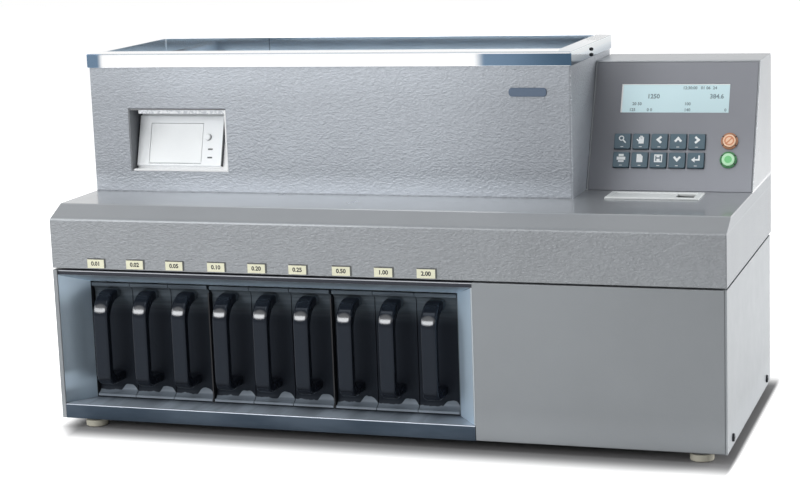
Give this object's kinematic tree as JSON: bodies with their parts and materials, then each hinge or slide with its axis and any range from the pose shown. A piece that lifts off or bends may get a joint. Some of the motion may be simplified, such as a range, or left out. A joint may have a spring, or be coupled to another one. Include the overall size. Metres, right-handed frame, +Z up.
{
  "type": "coin sorting machine",
  "caption": "Bench coin sorter: open hopper on a hinged grey lid, sloping key console, ticket printer and a row of pull-out black coin boxes with D handles.",
  "frame": {"origin": "on the floor under the feet, at the middle of the machine's width and depth", "axes": "X to the right as seen from the front, Y to the rear, Z up; the coin boxes face -Y"},
  "size_m": [0.7844, 0.3288, 0.4275],
  "materials": {
    "hammer_grey": "embossed silver-grey paint",
    "satin_grey": "fine satin grey paint",
    "panel_grey": "matt grey overlay on a plate",
    "polished_steel": "mirror-polished stainless steel",
    "satin_steel": "satin stainless sheet",
    "plated_steel": "zinc-plated sheet",
    "alloy": "machined and anodised",
    "motor_grey": "dark baked paint",
    "box_black": "moulded glossy black plastic",
    "works_black": "moulded black plastic",
    "cream": "moulded cream plastic",
    "foot_rubber": "pale soft rubber",
    "bumper_rubber": "black soft rubber",
    "printer_white": "moulded white plastic",
    "belt_rubber": "dark woven-backed belt",
    "display_glass": "pale backlit liquid crystal behind a clear window",
    "key_slate": "moulded dark slate keys with printed signs",
    "start_green": "translucent green button",
    "stop_orange": "translucent orange button",
    "board_green": "lacquered circuit board"
  },
  "bodies": {
    "base": {"base_pan": "plated_steel", "case_wrap": "satin_grey", "lower_front_panel": "satin_grey", "bay_tray": "polished_steel", "bay_surround": "satin_steel", "deck_plate": "plated_steel", "feet": "foot_rubber", "case_screws": "plated_steel", "lid_bumpers": "bumper_rubber", "sort_rail": "alloy", "transport_belt": "belt_rubber", "rail_motor": "motor_grey", "coin_sensor": "works_black", "disc_bowl": "alloy", "disc_motor": "motor_grey", "power_supply": "plated_steel", "control_board": "board_green", "power_inlet": "works_black", "hinge_base_leaves": "plated_steel"},
    "lid": {"hinge_lid_leaves": "plated_steel", "top_cover": "hammer_grey", "ledge_tray": "cream", "label_plates": "cream", "hopper_shell": "hammer_grey", "hopper_rim": "polished_steel", "hopper_liner": "satin_steel", "hopper_belt": "belt_rubber", "printer_frame": "works_black", "printer_body": "printer_white", "control_panel": "panel_grey", "display_module": "display_glass"},
    "sort_disc": {"sort_disc": "alloy"},
    "rail_drive": {"rail_drive_pulley": "alloy"},
    "rail_idler": {"rail_idler_pulley": "alloy"},
    "hopper_drive": {"hopper_drive_roller": "alloy"},
    "hopper_idler": {"hopper_idler_roller": "alloy"},
    "printer_door": {"printer_door": "printer_white"},
    "printer_button": {"printer_button": "printer_white"},
    "power_switch": {"power_switch": "works_black"},
    "start_button": {"start_button": "start_green"},
    "stop_button": {"stop_button": "stop_orange"},
    "coin_box_1": {"coin_box_1": "box_black"},
    "coin_box_2": {"coin_box_2": "box_black"},
    "coin_box_3": {"coin_box_3": "box_black"},
    "coin_box_4": {"coin_box_4": "box_black"},
    "coin_box_5": {"coin_box_5": "box_black"},
    "coin_box_6": {"coin_box_6": "box_black"},
    "coin_box_7": {"coin_box_7": "box_black"},
    "coin_box_8": {"coin_box_8": "box_black"},
    "coin_box_9": {"coin_box_9": "box_black"},
    "key_1": {"key_1": "key_slate"},
    "key_2": {"key_2": "key_slate"},
    "key_3": {"key_3": "key_slate"},
    "key_4": {"key_4": "key_slate"},
    "key_5": {"key_5": "key_slate"},
    "key_6": {"key_6": "key_slate"},
    "key_7": {"key_7": "key_slate"},
    "key_8": {"key_8": "key_slate"},
    "key_9": {"key_9": "key_slate"},
    "key_10": {"key_10": "key_slate"}
  },
  "joints": [
    {"name": "lid_hinge", "type": "hinge", "parent": "base", "child": "lid", "pos_m": [0, 0.1601, 0.189], "axis": [-1, 0, 0], "range_deg": [0, 60]},
    {"name": "coin_box_1_slide", "type": "slide", "parent": "base", "child": "coin_box_1", "axis": [0, -1, 0], "range_m": [0, 0.22]},
    {"name": "coin_box_2_slide", "type": "slide", "parent": "base", "child": "coin_box_2", "axis": [0, -1, 0], "range_m": [0, 0.22]},
    {"name": "coin_box_3_slide", "type": "slide", "parent": "base", "child": "coin_box_3", "axis": [0, -1, 0], "range_m": [0, 0.22]},
    {"name": "coin_box_4_slide", "type": "slide", "parent": "base", "child": "coin_box_4", "axis": [0, -1, 0], "range_m": [0, 0.22]},
    {"name": "coin_box_5_slide", "type": "slide", "parent": "base", "child": "coin_box_5", "axis": [0, -1, 0], "range_m": [0, 0.22]},
    {"name": "coin_box_6_slide", "type": "slide", "parent": "base", "child": "coin_box_6", "axis": [0, -1, 0], "range_m": [0, 0.22]},
    {"name": "coin_box_7_slide", "type": "slide", "parent": "base", "child": "coin_box_7", "axis": [0, -1, 0], "range_m": [0, 0.22]},
    {"name": "coin_box_8_slide", "type": "slide", "parent": "base", "child": "coin_box_8", "axis": [0, -1, 0], "range_m": [0, 0.22]},
    {"name": "coin_box_9_slide", "type": "slide", "parent": "base", "child": "coin_box_9", "axis": [0, -1, 0], "range_m": [0, 0.22]},
    {"name": "key_1_press", "type": "slide", "parent": "lid", "child": "key_1", "axis": [0, 0.9107, -0.4131], "range_m": [0, 0.0018], "stiffness_N_per_m": 400},
    {"name": "key_2_press", "type": "slide", "parent": "lid", "child": "key_2", "axis": [0, 0.9107, -0.4131], "range_m": [0, 0.0018], "stiffness_N_per_m": 400},
    {"name": "key_3_press", "type": "slide", "parent": "lid", "child": "key_3", "axis": [0, 0.9107, -0.4131], "range_m": [0, 0.0018], "stiffness_N_per_m": 400},
    {"name": "key_4_press", "type": "slide", "parent": "lid", "child": "key_4", "axis": [0, 0.9107, -0.4131], "range_m": [0, 0.0018], "stiffness_N_per_m": 400},
    {"name": "key_5_press", "type": "slide", "parent": "lid", "child": "key_5", "axis": [0, 0.9107, -0.4131], "range_m": [0, 0.0018], "stiffness_N_per_m": 400},
    {"name": "key_6_press", "type": "slide", "parent": "lid", "child": "key_6", "axis": [0, 0.9107, -0.4131], "range_m": [0, 0.0018], "stiffness_N_per_m": 400},
    {"name": "key_7_press", "type": "slide", "parent": "lid", "child": "key_7", "axis": [0, 0.9107, -0.4131], "range_m": [0, 0.0018], "stiffness_N_per_m": 400},
    {"name": "key_8_press", "type": "slide", "parent": "lid", "child": "key_8", "axis": [0, 0.9107, -0.4131], "range_m": [0, 0.0018], "stiffness_N_per_m": 400},
    {"name": "key_9_press", "type": "slide", "parent": "lid", "child": "key_9", "axis": [0, 0.9107, -0.4131], "range_m": [0, 0.0018], "stiffness_N_per_m": 400},
    {"name": "key_10_press", "type": "slide", "parent": "lid", "child": "key_10", "axis": [0, 0.9107, -0.4131], "range_m": [0, 0.0018], "stiffness_N_per_m": 400},
    {"name": "start_button_press", "type": "slide", "parent": "lid", "child": "start_button", "axis": [0, 0.9107, -0.4131], "range_m": [0, 0.0018], "stiffness_N_per_m": 500},
    {"name": "stop_button_press", "type": "slide", "parent": "lid", "child": "stop_button", "axis": [0, 0.9107, -0.4131], "range_m": [0, 0.0018], "stiffness_N_per_m": 500},
    {"name": "printer_button_press", "type": "slide", "parent": "lid", "child": "printer_button", "axis": [0, 0.9537, -0.3007], "range_m": [0, 0.0012], "stiffness_N_per_m": 300},
    {"name": "printer_door_hinge", "type": "hinge", "parent": "lid", "child": "printer_door", "pos_m": [-0.2878, -0.03232, 0.29524], "axis": [1, 0, 0], "range_deg": [0, 85]},
    {"name": "power_switch_rock", "type": "hinge", "parent": "base", "child": "power_switch", "pos_m": [0.3, 0.1544, 0.088], "axis": [1, 0, 0], "range_deg": [0, 20]},
    {"name": "sort_disc_spin", "type": "hinge", "parent": "base", "child": "sort_disc", "pos_m": [0.287, 0.0564, 0.1837], "axis": [0, 0, 1], "continuous": true},
    {"name": "rail_drive_spin", "type": "hinge", "parent": "base", "child": "rail_drive", "pos_m": [0.1743, -0.0136, 0.2009], "axis": [0, 1, 0], "continuous": true},
    {"name": "rail_idler_spin", "type": "hinge", "parent": "base", "child": "rail_idler", "pos_m": [-0.335, -0.0136, 0.2009], "axis": [0, 1, 0], "continuous": true},
    {"name": "hopper_drive_spin", "type": "hinge", "parent": "lid", "child": "hopper_drive", "pos_m": [0.1728, 0.1069, 0.2873], "axis": [0, 1, 0], "continuous": true},
    {"name": "hopper_idler_spin", "type": "hinge", "parent": "lid", "child": "hopper_idler", "pos_m": [-0.3526, 0.1069, 0.2873], "axis": [0, 1, 0], "continuous": true}
  ],
  "couplings": [
    {"joint": "rail_idler_spin", "follows": "rail_drive_spin", "ratio": 1},
    {"joint": "hopper_idler_spin", "follows": "hopper_drive_spin", "ratio": 1}
  ]
}
